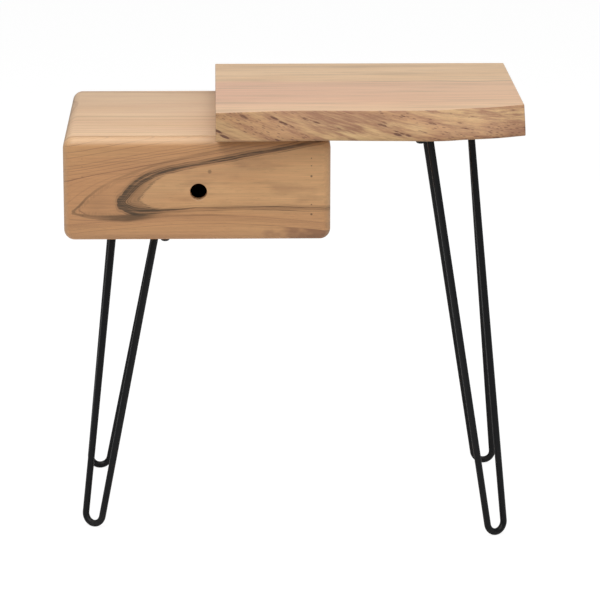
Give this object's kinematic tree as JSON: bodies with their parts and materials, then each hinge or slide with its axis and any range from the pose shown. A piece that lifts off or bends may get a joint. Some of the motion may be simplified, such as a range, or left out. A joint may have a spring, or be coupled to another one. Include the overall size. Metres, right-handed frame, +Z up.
{
  "type": "side table",
  "caption": "Side table: a live-edge slab laid over one end of a rounded wooden drawer box, on hairpin rod legs, with one drawer opened by a finger hole",
  "frame": {"origin": "centre of the bounding box's bottom, on the floor", "axes": "+X along the table's length from the drawer box to the slab's free end, +Y to the back, +Z up; the drawer opens along -Y"},
  "size_m": [0.6, 0.368, 0.574],
  "materials": {
    "slab_wood": "solid acacia with a live edge, matt clear lacquer",
    "box_wood": "solid acacia, matt clear lacquer",
    "inner_wood": "planed, unlacquered wood",
    "black_steel": "satin black powder coat",
    "plated_steel": "zinc-plated screws and nails"
  },
  "bodies": {
    "table": {"live_edge_slab": "slab_wood", "carcass_top": "box_wood", "carcass_bottom": "box_wood", "carcass_left_side": "box_wood", "carcass_right_side": "box_wood", "back_panel": "inner_wood", "carcass_dowels": "inner_wood", "back_panel_nails": "plated_steel", "left_runner": "inner_wood", "right_runner": "inner_wood", "runner_screws": "plated_steel", "drawer_stop": "inner_wood", "drawer_stop_screw": "plated_steel", "slab_screws": "plated_steel", "front_left_leg": "black_steel", "front_right_leg": "black_steel", "back_left_leg": "black_steel", "back_right_leg": "black_steel", "front_left_leg_plate": "black_steel", "front_right_leg_plate": "black_steel", "back_left_leg_plate": "black_steel", "back_right_leg_plate": "black_steel", "left_leg_screws": "black_steel", "right_leg_screws": "black_steel"},
    "drawer": {"drawer_front": "box_wood", "drawer_left_side": "inner_wood", "drawer_right_side": "inner_wood", "drawer_back": "inner_wood", "drawer_bottom": "inner_wood", "drawer_front_nails": "plated_steel", "drawer_back_nails": "plated_steel"}
  },
  "joints": [
    {"name": "drawer_slide", "type": "slide", "parent": "table", "child": "drawer", "axis": [0, -1, 0], "range_m": [0, 0.22]}
  ]
}
